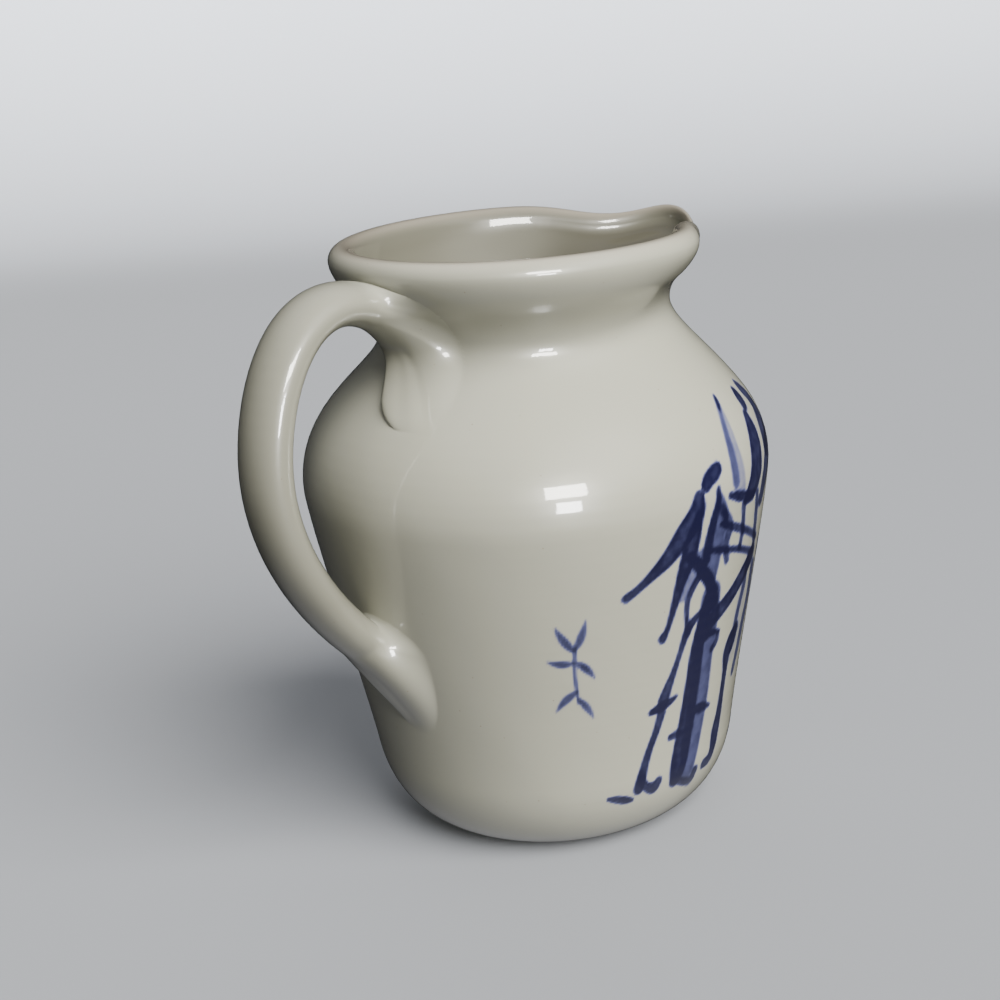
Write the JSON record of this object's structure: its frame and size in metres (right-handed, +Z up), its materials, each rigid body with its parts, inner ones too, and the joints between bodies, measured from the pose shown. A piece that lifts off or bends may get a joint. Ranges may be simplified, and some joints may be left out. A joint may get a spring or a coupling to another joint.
{
  "type": "pitcher vase",
  "caption": "Small glazed porcelain jug with a full shoulder, narrow neck, rolled rim, pulled pouring lip and an arched strap handle, with brushed cobalt bamboo on its front",
  "frame": {"origin": "middle of the foot, on the surface that the jug stands on", "axes": "+Z up along the axis of turning, +X out through the pouring lip, handle along -X, +Y completes the right-handed frame"},
  "size_m": [0.1429, 0.1182, 0.15],
  "materials": {
    "glazed_porcelain": "clear glossy glaze over warm grey-cream porcelain, with underglaze cobalt brushwork"
  },
  "bodies": {
    "root": {"jug_body": "glazed_porcelain", "strap_handle": "glazed_porcelain"}
  },
  "joints": []
}
